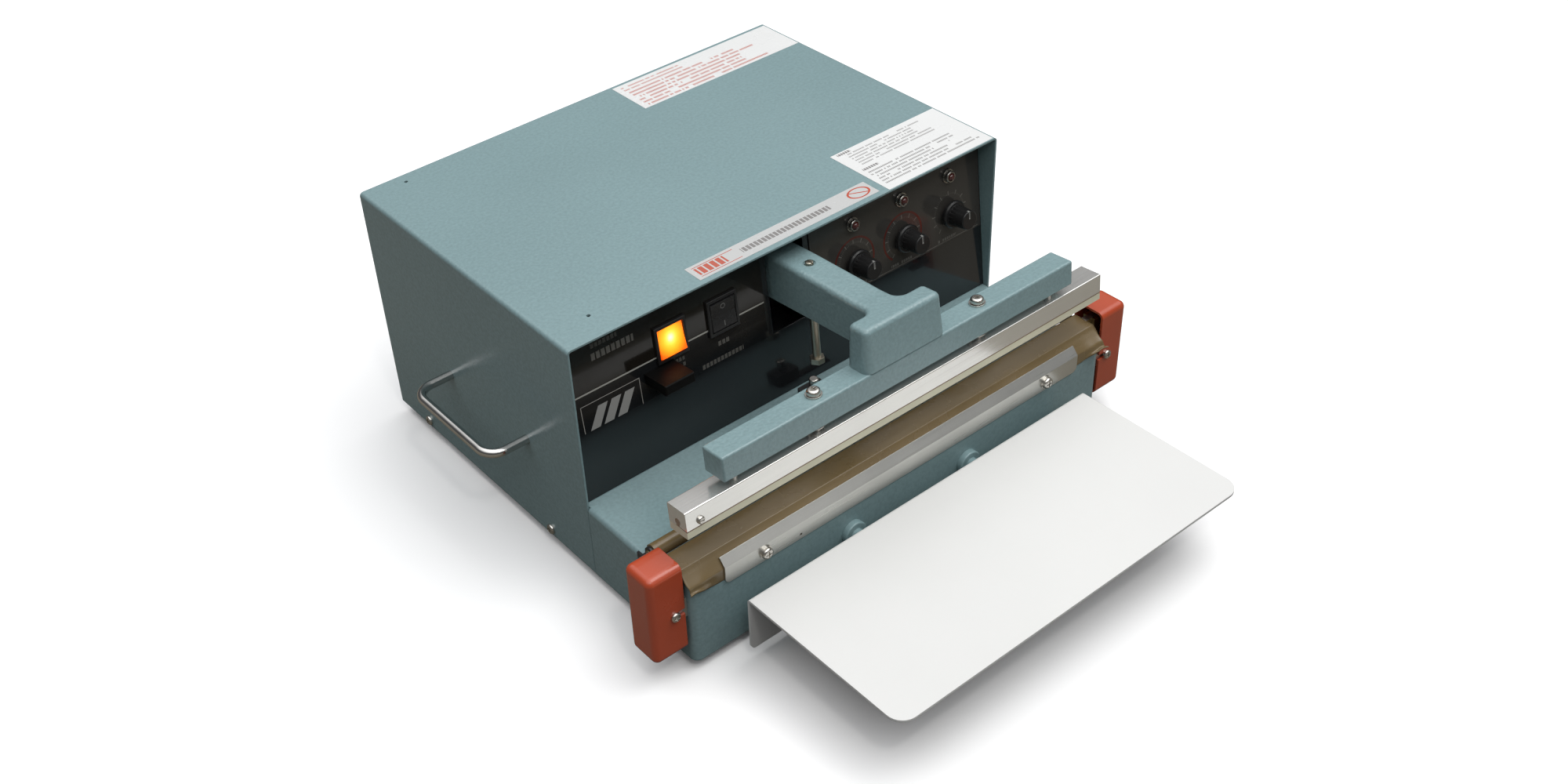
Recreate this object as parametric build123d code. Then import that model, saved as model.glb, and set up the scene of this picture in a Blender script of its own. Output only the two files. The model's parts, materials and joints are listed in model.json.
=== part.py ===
from build123d import *
import os
from math import atan, cos, degrees, pi, radians, sin, sqrt, tan

# Table-top impulse heat sealer with a solenoid-driven press arm.
# Modelled in millimetres, +X along the seal, +Y to the back, +Z up.
# Every piece is drawn in a working frame (y = 0 at the front edge of the cover,
# z = 0 under the base plate) and moved once to the part frame (box bottom centre).

# ---------------------------------------------------------------- dimensions
CASE_HW = 190.0        # half width of the cover
CASE_D = 260.0         # depth of the cover
CASE_TOP = 189.5       # top of the cover
T = 1.5                # sheet thickness of cover, housing and panels
COVER_R = 3.0          # outer bend radius of the cover
DECK_Z = 60.0          # top of the front deck
FRONT_Y = -111.0       # front face of the housing
LIP_Z = 66.0           # top of the front wall
HOUSING_R = 6.0        # vertical corner radius of the housing
FOOT_H = 8.0
FOOT_R = 11.0

PANEL_Y0 = 4.0         # slanted front panel: y at the deck
PANEL_SLOPE = 0.11     # how far it leans back per mm of height
PLATE_Z0 = 112.0       # lower edge of the gloss control plate
SLOT_HW = 17.0         # arm slot in the panel

PIVOT_Y, PIVOT_Z = 190.0, 140.0
OPEN_DEG = 4.73        # the arm stands this far above its closed position
SHAFT_R = 5.0

BAR_HW = 187.0         # half length of jaw and lower bar
BAR_Y0, BAR_Y1 = -102.5, -84.8
BAR_TOP = 76.0
JAW_Y0, JAW_Y1 = -102.5, -84.5
RUB_Z0, RUB_Z1 = 77.8, 83.8
JAW_Z1 = 98.0
JAW_YM = -93.5         # keyway of the rubber strip
BEAM_HW = 156.0
BEAM_Y0, BEAM_Y1 = -104.0, -84.0
BEAM_Z0, BEAM_Z1 = 104.6, 123.6
JAW_X = 2.0            # beam and jaw sit this far right of the arm's middle
BOLT_X = 73.0          # spring bolts
PIN_X = 142.0          # guide pins
BOLT_R = 3.0
FIT = 0.08             # running fit, radial

HEAD_HW = 33.0
STEM_HW = 12.7
ARM_TOP = 155.5
ARM_BOT = 123.0
TAIL_Y = 228.0

STOP_Y = -12.5         # stop bolt, closed position
STOP_HEAD_Z = 77.1
LINK_Y, LINK_Z = 60.0, 128.0
LINK_R = 4.0

CAP_X0, CAP_X1 = 193.0, 219.0
CAP_Y0, CAP_Y1 = -108.2, -82.2
CAP_Z0, CAP_Z1 = 14.0, 86.5
CAP_T = 1.8
CAP_SCREW_X, CAP_SCREW_Z = 201.0, 48.0

CLAMP_HW = 163.0
CLAMP_SCREW_X, CLAMP_SCREW_Z = 130.0, 61.8

SHELF_HW = 156.0
SHELF_Y0, SHELF_Y1 = -264.0, -126.5
SHELF_Z = 45.6
SHELF_T = 2.0
BOSS_X, BOSS_Z, BOSS_R = 54.0, 31.4, 9.4

HANDLE_Y0, HANDLE_Y1 = 68.0, 166.0
HANDLE_Z = 78.5
HANDLE_X = 220.5
HANDLE_R = 3.4

ROLL_Y, ROLL_Z, ROLL_R = -75.0, 74.0, 5.5
ROLL_HW = 191.5

SW_X = (-102.5, -58.5) # power switch, action selector
SW_Z = 148.5
KNOB_X = (61.5, 108.5, 155.5)
KNOB_Z = 135.5
LED_Z = 165.3

REAR_END = 272.0       # end of the fuse cap

SHIFT = Pos(0, -(SHELF_Y0 + REAR_END) / 2, FOOT_H)


# ------------------------------------------------------------------- helpers
def box(x0, x1, y0, y1, z0, z1):
    return Pos((x0 + x1) / 2, (y0 + y1) / 2, (z0 + z1) / 2) * Box(
        abs(x1 - x0), abs(y1 - y0), abs(z1 - z0)
    )


def cx(x0, x1, y, z, r):
    return Pos((x0 + x1) / 2, y, z) * Rot(0, 90, 0) * Cylinder(r, abs(x1 - x0))


def cy(x, y0, y1, z, r):
    return Pos(x, (y0 + y1) / 2, z) * Rot(90, 0, 0) * Cylinder(r, abs(y1 - y0))


def cz(x, y, z0, z1, r):
    return Pos(x, y, (z0 + z1) / 2) * Cylinder(r, abs(z1 - z0))


def hexz(x, y, z0, z1, af):
    return Pos(x, y, z0) * extrude(RegularPolygon(af / sqrt(3), 6), z1 - z0)


def hexy(x, y0, y1, z, af):
    return Pos(x, y1, z) * Rot(90, 0, 0) * extrude(RegularPolygon(af / sqrt(3), 6), y1 - y0)


def yz_prism(pts, x0, x1):
    """Solid with the outline pts (y, z) between two x planes."""
    face = make_face(Polyline(*[(x0, y, z) for y, z in pts], close=True))
    return extrude(face, x1 - x0, dir=(1, 0, 0))


def xy_prism(pts, z0, z1):
    face = make_face(Polyline(*[(x, y, z0) for x, y in pts], close=True))
    return extrude(face, z1 - z0, dir=(0, 0, 1))


def group(*solids):
    return Compound([one for s in solids for one in s.solids()])


def pick(shape, test):
    return [e for e in shape.edges() if test(e)]


def mirror_x(shape):
    return mirror(shape, about=Plane.YZ)


# panel frame: x along the panel, y up the slope, z out of the face
_k = atan(PANEL_SLOPE)
PANEL = Plane(origin=(0, PANEL_Y0, DECK_Z), x_dir=(1, 0, 0), z_dir=(0, -cos(_k), sin(_k)))


def pv(z):
    return (z - DECK_Z) / cos(_k)


def pbox(x0, x1, v0, v1, n0, n1):
    return PANEL.location * box(x0, x1, v0, v1, n0, n1)


def pcyl(x, v, n0, n1, r):
    return PANEL.location * cz(x, v, n0, n1, r)


SW_V = pv(SW_Z)
KNOB_V = pv(KNOB_Z)
LED_V = pv(LED_Z)
PLATE_V0 = pv(PLATE_Z0)
PANEL_V1 = pv(187.2)

OPEN = Pos(0, PIVOT_Y, PIVOT_Z) * Rot(-OPEN_DEG, 0, 0) * Pos(0, -PIVOT_Y, -PIVOT_Z)

nodes = {}

# ------------------------------------------------------------- case and base
cover = box(-CASE_HW, CASE_HW, 0, CASE_D, 0.3, CASE_TOP)
cover = fillet(
    pick(cover, lambda e: abs(e.center().Z - CASE_TOP) < 0.01 and abs(abs(e.center().X) - CASE_HW) < 0.01),
    COVER_R,
)
inner = box(-CASE_HW + T, CASE_HW - T, -1, CASE_D + 1, -1, CASE_TOP - T)
inner = fillet(
    pick(inner, lambda e: abs(e.center().Z - CASE_TOP + T) < 0.01 and abs(abs(e.center().X) - CASE_HW + T) < 0.01),
    COVER_R - T,
)
cover -= inner
SIDE_SCREWS = [(52.0, 6.2), (216.5, 6.2)]
for y, z in SIDE_SCREWS:
    cover -= cx(-CASE_HW - 2, -CASE_HW + 3, y, z, 2.2)
    cover -= cx(CASE_HW - 3, CASE_HW + 2, y, z, 2.2)
for x in (-157.0, 157.0):
    for y in (23.0, 250.0):
        cover -= cz(x, y, CASE_TOP - 3, CASE_TOP + 1, 1.4)
for y in (HANDLE_Y0, HANDLE_Y1):
    cover -= cx(-CASE_HW - 2, CASE_HW + 2, y, HANDLE_Z, 2.2)
nodes["case_cover"] = cover

base = box(-187.8, 187.8, -108.5, 256.0, 0, T)
base = fillet(pick(base, lambda e: abs(e.center().Y + 108.5) < 0.01 and abs(abs(e.center().X) - 187.8) < 0.01), 5.0)
base += box(-187.8, -186.3, 10, 254, 0, 16) + box(186.3, 187.8, 10, 254, 0, 16)
for y, z in SIDE_SCREWS:
    base -= cx(-189, -185, y, z, 2.0) + cx(185, 189, y, z, 2.0)
FEET = [(-165, -85), (165, -85), (-165, 232), (165, 232)]
for x, y in FEET:
    base -= cz(x, y, -1, 3, 2.2)
for i in range(7):
    base -= box(-150 + i * 14, -145 + i * 14, 30, 95, -1, 3)
nodes["base_plate"] = base

feet = []
for x, y in FEET:
    f = Pos(x, y, -FOOT_H) * Cone(FOOT_R - 1.2, FOOT_R, FOOT_H, align=(Align.CENTER, Align.CENTER, Align.MIN))
    f -= cz(x, y, -FOOT_H - 1, -FOOT_H + 4, 5.0)
    f += cz(x, y, 0, 4.0, 2.1)
    feet.append(f)
nodes["rubber_feet"] = group(*feet)

screws = []
for s in (-1, 1):
    for y, z in SIDE_SCREWS:
        h = cx(s * CASE_HW, s * (CASE_HW + 2.4), y, z, 3.9)
        h = fillet(pick(h, lambda e: abs(abs(e.center().X) - CASE_HW - 2.4) < 0.01), 1.6)
        h -= box(s * (CASE_HW + 1.2), s * (CASE_HW + 3), y - 0.5, y + 0.5, z - 2.3, z + 2.3)
        h -= box(s * (CASE_HW + 1.2), s * (CASE_HW + 3), y - 2.3, y + 2.3, z - 0.5, z + 0.5)
        h += cx(s * (CASE_HW - 6), s * CASE_HW, y, z, 1.95)
        screws.append(h)
for s in (-1, 1):
    x = s * CAP_SCREW_X
    h = cy(x, CAP_Y0 - 2.4, CAP_Y0, CAP_SCREW_Z, 3.5)
    h = fillet(pick(h, lambda e: abs(e.center().Y - CAP_Y0 + 2.4) < 0.01), 1.5)
    h -= box(x - 0.45, x + 0.45, CAP_Y0 - 3, CAP_Y0 - 1.2, CAP_SCREW_Z - 2.1, CAP_SCREW_Z + 2.1)
    h -= box(x - 2.1, x + 2.1, CAP_Y0 - 3, CAP_Y0 - 1.2, CAP_SCREW_Z - 0.45, CAP_SCREW_Z + 0.45)
    h += cy(x, CAP_Y0, CAP_Y0 + 6.0, CAP_SCREW_Z, 1.95)
    screws.append(h)
nodes["case_screws"] = group(*screws)


# front housing: deck, front wall and sides in one bent shell
def plan(off, y1):
    w = CASE_HW - off
    y0 = FRONT_Y + off
    s = make_face(Polyline((-w, y0), (w, y0), (w, y1), (-w, y1), close=True))
    return fillet([v for v in s.vertices() if abs(v.Y - y0) < 0.01], HOUSING_R - off)


hous = extrude(plan(0, -0.4), DECK_Z)
hous = fillet(
    pick(hous, lambda e: abs(e.center().Z - DECK_Z) < 0.01 and abs(abs(e.center().X) - CASE_HW) < 0.01
         and abs(e.center().Y + 52) < 8),
    4.0,
)
hin = Pos(0, 0, -1) * extrude(plan(T, 2.0), DECK_Z - T + 1)
hin = fillet(
    pick(hin, lambda e: abs(e.center().Z - DECK_Z + T) < 0.01 and abs(abs(e.center().X) - CASE_HW + T) < 0.01
         and abs(e.center().Y + 52) < 8),
    2.5,
)
hous -= hin
lip = Pos(0, 0, DECK_Z - 8) * extrude(plan(0, -0.4), LIP_Z - DECK_Z + 8)
lip -= Pos(0, 0, DECK_Z - 9) * extrude(plan(T, 2.0), LIP_Z - DECK_Z + 10)
lip &= box(-200, 200, -120, -105.0, 0, 100)
hous += lip
hous += box(-187.9, 187.9, -0.6, 9.0, DECK_Z - T, DECK_Z)
for s in (-1, 1):
    hous -= cx(s * 185, s * 192, -95, 34, 4.0)
    hous -= cy(s * CLAMP_SCREW_X, -113, -104.5, CLAMP_SCREW_Z, 2.35)
    hous -= cy(s * BOSS_X, -113, -108, BOSS_Z, 2.55)
nodes["front_housing"] = hous

rear = box(-188.2, 188.2, 256.2, 257.7, 1.8, 187.2)
INLET = (120.0, 45.0)
FUSE = (80.0, 45.0)
JACK = (45.0, 45.0)
rear -= box(INLET[0] - 14.3, INLET[0] + 14.3, 250, 262, INLET[1] - 10.3, INLET[1] + 10.3)
rear -= cy(FUSE[0], 250, 262, FUSE[1], 6.4)
rear -= cy(JACK[0], 250, 262, JACK[1], 5.1)
for i in range(7):
    for s in (-1, 1):
        z = 112 + i * 8
        rear -= box(s * 95 - 35, s * 95 + 35, 250, 262, z, z + 3.2)
nodes["rear_panel"] = rear

panel = pbox(-188.2, 188.2, 0.4, PANEL_V1, -T, 0)
panel += box(-188.0, 188.0, PANEL_Y0 + 1.0, PANEL_Y0 + 12, DECK_Z + 0.1, DECK_Z + 0.1 + T)
panel -= pbox(-SLOT_HW, SLOT_HW, PLATE_V0, pv(184), -4, 3)
for x in SW_X:
    panel -= pbox(x - 11.6, x + 11.6, SW_V - 12.4, SW_V + 12.4, -4, 3)
for x in KNOB_X:
    panel -= pcyl(x, KNOB_V, -4, 3, 3.6)
    panel -= pcyl(x, LED_V, -4, 3, 4.5)
nodes["front_panel"] = panel

plate = pbox(-187.0, 187.0, PLATE_V0, pv(186.6), 0, 0.8)
plate -= pbox(-22.0, 22.0, PLATE_V0 - 1, pv(185), -1, 3)
for x in SW_X:
    plate -= pbox(x - 11.6, x + 11.6, SW_V - 12.4, SW_V + 12.4, -4, 3)
for x in KNOB_X:
    plate -= pcyl(x, KNOB_V, -4, 3, 3.6)
    plate -= pcyl(x, LED_V, -4, 3, 4.5)
nodes["control_plate"] = plate


# blank stickers on the cover
def sticker(x0, x1, y0, y1):
    return box(x0, x1, y0, y1, CASE_TOP, CASE_TOP + 0.2)


nodes["information_labels"] = group(
    sticker(33, 186.8, 214, 257), sticker(84.6, 186.8, 1.0, 62.5), sticker(-80.5, 78.5, 4.5, 21.5)
)

# ------------------------------------------------------------ panel controls
bodies = []
for x in SW_X:
    b = pbox(x - 13.0, x + 13.0, SW_V - 14.0, SW_V + 14.0, 0.8, 3.0)
    b = fillet(b.edges().filter_by(lambda e: abs((PANEL.to_local_coords(e.center())).Z - 3.0) < 0.01), 0.8)
    b += pbox(x - 11.4, x + 11.4, SW_V - 12.2, SW_V + 12.2, -22.0, 1.0)
    b -= pbox(x - 10.75, x + 10.75, SW_V - 11.55, SW_V + 11.55, -12.0, 4.0)
    bodies.append(b)
nodes["switch_bodies"] = group(*bodies)

ROCK_N = -1.0          # rocker axis, below the plate face
ROCK_DEG = 8.0


def rocker(x, deg):
    """Rocker cap with its end faces on arcs about the axis."""
    c = Rot(0, 90, 0) * Cylinder(11.2, 20.8)
    prof = make_face(Polyline((0, -14, -6.2), (0, 14, -6.2), (0, 14, 4.7), (0, 0, 3.7), (0, -14, 4.7), close=True))
    c &= Pos(-10.4, 0, 0) * extrude(prof, 20.8, dir=(1, 0, 0))
    c = fillet(c.edges().filter_by(lambda e: e.center().Z > 3.0 and abs(abs(e.center().X) - 10.4) < 0.01), 0.6)
    c -= cx(-12, 12, 0, -3.0, 1.2)
    return PANEL.location * Pos(x, SW_V, ROCK_N) * Rot(deg, 0, 0) * c


nodes["power_rocker"] = rocker(SW_X[0], -ROCK_DEG)
nodes["action_rocker"] = rocker(SW_X[1], 0)

guard = pbox(-127.0, -102.5, pv(125.5), pv(133.0), 0.8, 24.5)
guard = fillet(guard.edges().filter_by(lambda e: PANEL.to_local_coords(e.center()).Z > 24.0), 1.2)
guard -= pbox(-125.0, -104.5, pv(123.0), pv(131.2), 3.0, 22.7)
nodes["switch_guard"] = guard

bez, lens, pots = [], [], []
for x in KNOB_X:
    b = pcyl(x, LED_V, 0.8, 2.0, 5.4) + pcyl(x, LED_V, -9.0, 5.2, 4.4)
    b = chamfer(b.edges().filter_by(lambda e: abs(PANEL.to_local_coords(e.center()).Z - 5.2) < 0.01), 0.5)
    b += PANEL.location * hexz(x, LED_V, -4.5, -T, 10.5)
    b -= pcyl(x, LED_V, -10, 7, 3.1)
    bez.append(b)
    l = pcyl(x, LED_V, -6.0, 4.2, 3.0) + PANEL.location * Pos(x, LED_V, 4.2) * (
        Sphere(3.0) & Pos(0, 0, 1.5) * Box(8, 8, 3)
    )
    lens.append(l)
    p = pcyl(x, KNOB_V, -14.0, -T, 8.5) + pcyl(x, KNOB_V, -T, 4.0, 3.5)
    p += PANEL.location * hexz(x, KNOB_V, 0.8, 2.8, 10.0)
    p += pbox(x - 7, x + 7, KNOB_V - 15, KNOB_V - 6, -11, -9.8)
    p -= pcyl(x, KNOB_V, -12.5, 5, 3.0 + FIT)
    pots.append(p)
nodes["indicator_bezels"] = group(*bez)
nodes["indicator_lenses"] = group(*lens)
nodes["potentiometers"] = group(*pots)


def knob(x):
    k = cz(0, 0, 4.6, 7.8, 10.6)
    k = chamfer(k.edges().filter_by(lambda e: abs(e.center().Z - 7.8) < 0.01), 1.0)
    body = Pos(0, 0, 7.0) * Cone(8.2, 7.3, 15.0, align=(Align.CENTER, Align.CENTER, Align.MIN))
    body = fillet(body.edges().filter_by(lambda e: abs(e.center().Z - 22.0) < 0.01), 1.0)
    for i in range(18):
        a = 2 * pi * i / 18
        body -= Pos(8.75 * cos(a), 8.75 * sin(a), 15.2) * Cylinder(1.05, 13.0)
    k += body
    k -= cz(0, 0, 3, 6.4, 6.3)
    k -= box(-0.5, 0.5, 2.0, 7.0, 21.5, 23)
    k += cz(0, 0, -12.0, 12.0, 3.0)
    return PANEL.location * Pos(x, KNOB_V, 0) * k


for n, x in zip(("sealing_time_knob", "cooling_time_knob", "recycle_time_knob"), KNOB_X):
    nodes[n] = knob(x)

# --------------------------------------------------------- lower sealing bar
bar = box(-BAR_HW, BAR_HW, BAR_Y0, BAR_Y1, DECK_Z, BAR_TOP)
bar = fillet(pick(bar, lambda e: abs(e.center().Z - BAR_TOP) < 0.01 and abs(e.center().X) < 1), 1.2)
for x in (-150, -50, 50, 150):
    bar -= cz(x, (BAR_Y0 + BAR_Y1) / 2, DECK_Z - 1, DECK_Z + 9, 2.1)
nodes["lower_bar"] = bar
nodes["insulation_strip"] = box(-BAR_HW, BAR_HW, -98.5, -88.8, BAR_TOP, BAR_TOP + 0.5)
nodes["heating_element"] = box(-206.0, 206.0, -96.2, -91.2, BAR_TOP + 0.5, BAR_TOP + 0.8)

term, brk = [], []
for s in (-1, 1):
    t = box(s * 195.5, s * 208.5, -99.0, -88.5, 64.0, BAR_TOP + 0.5)
    t -= cz(s * 202, -93.7, 66, 80, 1.6)
    term.append(t)
    b = box(s * CASE_HW, s * (CASE_HW + T), -104.2, -86.0, 18, 62)
    b += box(s * CASE_HW, s * 209.5, -100.5, -87.5, 62, 64)
    b += box(s * CASE_HW, s * 206.0, CAP_Y0 + CAP_T + 0.2, CAP_Y0 + CAP_T + 2.2, 40, 56)
    b -= cy(s * CAP_SCREW_X, -108, -100, CAP_SCREW_Z, 2.0)
    b -= cx(s * 185, s * 193, -95, 34, 4.0)
    brk.append(b)
nodes["element_terminals"] = group(*term)
nodes["cap_brackets"] = group(*brk)

# release cloth: one thin sheet over the bar and down the front wall
CT = 0.3
_outer = [(-80.1, 70.8), (-84.12, 75.35), (-85.0, 76.55), (-86.5, 77.15), (-102.6, 77.15), (-111.05, 67.2), (-111.3, 66.4), (-111.3, 57.5)]
_inner = [(-111.0, 57.5), (-111.0, 66.2), (-110.75, 66.95), (-102.45, 76.85), (-86.6, 76.85), (-85.2, 76.3), (-84.4, 75.2), (-80.35, 70.6)]
nodes["ptfe_cloth"] = yz_prism(_outer + _inner, -191.5, 189.5)

# bent clamp strip over the cloth
CA, CB = (-106.9, 73.0), (-112.6, 66.9)
_cl = [
    (-106.55, 73.35), (-111.4, 67.75), (-111.4, 54.6), (-112.6, 54.6), (-112.6, 68.2), (-107.45, 74.15),
]
clamp = yz_prism(_cl, -CLAMP_HW, CLAMP_HW)
clamp = fillet(
    pick(clamp, lambda e: abs(e.center().Z - 54.6) < 0.01 and abs(abs(e.center().X) - CLAMP_HW) < 0.01), 4.0
)
for s in (-1, 1):
    clamp -= cy(s * CLAMP_SCREW_X, -115, -109, CLAMP_SCREW_Z, 2.5)
clamp -= cy(-100, -115, -109, 58.3, 1.0)
nodes["cloth_clamp"] = clamp

fs = []
for s in (-1, 1):
    x = s * CLAMP_SCREW_X
    w = cy(x, -113.6, -112.6, CLAMP_SCREW_Z, 5.0)
    h = cy(x, -116.6, -113.6, CLAMP_SCREW_Z, 4.3)
    h = fillet(h.edges().filter_by(lambda e: abs(e.center().Y + 116.6) < 0.01), 2.0)
    h -= box(x - 0.5, x + 0.5, -117, -115.2, CLAMP_SCREW_Z - 2.6, CLAMP_SCREW_Z + 2.6)
    h -= box(x - 2.6, x + 2.6, -117, -115.2, CLAMP_SCREW_Z - 0.5, CLAMP_SCREW_Z + 0.5)
    fs.append(w + h + cy(x, -113.6, -106.0, CLAMP_SCREW_Z, 2.3))
nodes["clamp_screws"] = group(*fs)
# clearance for the clamp screws in the cloth
for s in (-1, 1):
    nodes["ptfe_cloth"] -= cy(s * CLAMP_SCREW_X, -115, -109, CLAMP_SCREW_Z, 2.5)


# red end caps
def end_cap():
    c = box(CAP_X0, CAP_X1, CAP_Y0, CAP_Y1, CAP_Z0, CAP_Z1)
    c = fillet(c.edges().filter_by(lambda e: e.center().X > CAP_X0 + 0.01), 4.8)
    i = box(CAP_X0 - 1, CAP_X1 - CAP_T, CAP_Y0 + CAP_T, CAP_Y1 - CAP_T, CAP_Z0 + CAP_T, CAP_Z1 - CAP_T)
    i = fillet(i.edges().filter_by(lambda e: e.center().X > CAP_X0 + 0.01), 3.0)
    c -= i
    c -= cy(CAP_SCREW_X, CAP_Y0 - 1, CAP_Y0 + 3, CAP_SCREW_Z, 2.3)
    c -= box(CAP_X0 - 1, CAP_SCREW_X, CAP_Y0 - 1, CAP_Y0 + 3, CAP_SCREW_Z - 2.3, CAP_SCREW_Z + 2.3)
    return c


cap = end_cap()
nodes["right_end_cap"] = cap
nodes["left_end_cap"] = mirror_x(cap)

# spare cloth roll behind the bar
nodes["ptfe_roll"] = cx(-ROLL_HW, ROLL_HW, ROLL_Y, ROLL_Z, ROLL_R) + cx(-194.6, 194.6, ROLL_Y, ROLL_Z, 2.4)
rb = []
for s in (-1, 1):
    b = box(s * 192.2, s * 193.8, ROLL_Y - 4.5, ROLL_Y + 4.5, DECK_Z + 0.0, ROLL_Z)
    b += cx(s * 192.2, s * 193.8, ROLL_Y, ROLL_Z, 4.5)
    b += box(s * 176.0, s * 193.8, ROLL_Y + 6.6, ROLL_Y + 14.0, DECK_Z, DECK_Z + T)
    b += box(s * 192.2, s * 193.8, ROLL_Y + 4.0, ROLL_Y + 14.0, DECK_Z, DECK_Z + 6)
    b -= cx(s * 184, s * 196, ROLL_Y, ROLL_Z, 2.4 + FIT)
    rb.append(b)
nodes["roll_brackets"] = group(*rb)

# -------------------------------------------------------------- work shelf
shelf = box(-SHELF_HW, SHELF_HW, SHELF_Y0, SHELF_Y1 + SHELF_T, SHELF_Z - SHELF_T, SHELF_Z)
shelf += box(-SHELF_HW, SHELF_HW, SHELF_Y1, SHELF_Y1 + SHELF_T, 1.0, SHELF_Z)
shelf = fillet(
    pick(shelf, lambda e: abs(e.center().Z - SHELF_Z) < 0.01 and abs(e.center().Y - SHELF_Y1 - SHELF_T) < 0.01), 2.8
)
shelf = fillet(
    pick(shelf, lambda e: abs(e.center().Z - SHELF_Z + SHELF_T) < 0.01 and abs(e.center().Y - SHELF_Y1) < 0.01), 0.8
)
shelf = fillet(
    pick(shelf, lambda e: abs(e.center().Y - SHELF_Y0) < 0.01 and abs(abs(e.center().X) - SHELF_HW) < 0.01), 12.0
)
shelf = fillet(
    pick(shelf, lambda e: abs(e.center().Z - 1.0) < 0.01 and abs(abs(e.center().X) - SHELF_HW) < 0.01), 4.0
)
for s in (-1, 1):
    shelf -= cy(s * BOSS_X, SHELF_Y1 - 2, SHELF_Y1 + 4, BOSS_Z, 2.55)
nodes["work_shelf"] = shelf
sp, ss = [], []
for s in (-1, 1):
    b = cy(s * BOSS_X, FRONT_Y - 4.6, FRONT_Y, BOSS_Z, BOSS_R)
    b = fillet(b.edges().filter_by(lambda e: abs(e.center().Y - FRONT_Y + 4.6) < 0.01), 1.0)
    b += cy(s * BOSS_X, SHELF_Y1 + SHELF_T, FRONT_Y - 4.0, BOSS_Z, 5.0)
    sp.append(b - cy(s * BOSS_X, -130, -100, BOSS_Z, 2.55))
    h = hexy(s * BOSS_X, SHELF_Y1 - 3.6, SHELF_Y1, BOSS_Z, 8.0) + cy(s * BOSS_X, SHELF_Y1 - 0.5, -104, BOSS_Z, 2.45)
    ss.append(h)
nodes["shelf_spacers"] = group(*sp)
nodes["shelf_screws"] = group(*ss)

# -------------------------------------------------------- carrying handles
hp = Polyline(
    (CASE_HW, HANDLE_Y0, HANDLE_Z), (HANDLE_X, HANDLE_Y0, HANDLE_Z),
    (HANDLE_X, HANDLE_Y1, HANDLE_Z), (CASE_HW, HANDLE_Y1, HANDLE_Z),
)
hw = Wire(hp.edges())
hw = FilletPolyline(
    (CASE_HW, HANDLE_Y0, HANDLE_Z), (HANDLE_X, HANDLE_Y0, HANDLE_Z),
    (HANDLE_X, HANDLE_Y1, HANDLE_Z), (CASE_HW, HANDLE_Y1, HANDLE_Z), radius=13.0,
)
handle = sweep(Plane(origin=(CASE_HW, HANDLE_Y0, HANDLE_Z), z_dir=(1, 0, 0)) * Circle(HANDLE_R), path=hw)
for y in (HANDLE_Y0, HANDLE_Y1):
    handle -= cx(CASE_HW - 1, CASE_HW + 10, y, HANDLE_Z, 1.9)
nodes["right_handle"] = handle
nodes["left_handle"] = mirror_x(handle)

# ------------------------------------------------------------ press arm
stem = xy_prism([(-STEM_HW, -90), (STEM_HW, -90), (STEM_HW, TAIL_Y), (-STEM_HW, TAIL_Y)], 118, 160)
head = Pos(0.8, (BEAM_Y0 + BEAM_Y1) / 2, BEAM_Z1) * extrude(
    RectangleRounded(2 * HEAD_HW + 4.4, BEAM_Y1 - BEAM_Y0 + 1.0, 6.0), 40, taper=3.6
)
arm = stem + head
arm = fillet(
    pick(arm, lambda e: 134 < e.center().Z < 146 and e.bounding_box().size.Z > 25
         and abs(abs(e.center().X) - STEM_HW) < 0.05 and abs(e.center().Y - BEAM_Y1) < 3.0),
    7.0,
)
side = yz_prism(
    [
        (-110, BEAM_Z1), (BEAM_Y1 + 0.0, BEAM_Z1), (BEAM_Y1 + 0.0, ARM_BOT), (150, ARM_BOT), (172, 121),
        (208, 121), (TAIL_Y + 2, 126), (TAIL_Y + 2, 148), (208, 159), (150, 159), (-6, 157.0), (-70, 154.4),
        (-110, 155.2),
    ],
    -60, 60,
)
arm &= side
top_edges = [
    e for e in arm.edges()
    if e.center().Z > 152.5 and e.bounding_box().size.Z < 6 and e.center().Y < 205
    and not (abs(e.center().X) < 1 and e.bounding_box().size.X > 2 and e.center().Y > -90)
]
for radius in (3.8, 3.2, 2.4, 1.5):
    try:
        arm = fillet(top_edges, radius)
        break
    except Exception:
        continue
arm -= cx(-20, 20, PIVOT_Y, PIVOT_Z, SHAFT_R + FIT)
arm -= cx(-20, 20, LINK_Y, LINK_Z, LINK_R + 0.03)
arm -= cz(0, STOP_Y, 118, 162, 3.05) + cz(0, STOP_Y, 155.5, 162, 4.3)
nodes["press_arm"] = OPEN * arm

nodes["link_pin"] = OPEN * cx(-19.5, 19.5, LINK_Y, LINK_Z, LINK_R)

stop = cz(0, STOP_Y, STOP_HEAD_Z + 2, 158.0, 3.0)
stop += hexz(0, STOP_Y, STOP_HEAD_Z, STOP_HEAD_Z + 4.2, 9.6)
stop = fillet(stop.edges().filter_by(lambda e: abs(e.center().Z - 158.0) < 0.01), 0.8)
stop -= box(-0.5, 0.5, STOP_Y - 4, STOP_Y + 4, 156.8, 159)
nodes["stop_bolt"] = OPEN * group(
    stop,
    hexz(0, STOP_Y, ARM_BOT - 4.4, ARM_BOT, 9.6) - cz(0, STOP_Y, 110, 130, 3.02),
)

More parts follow.
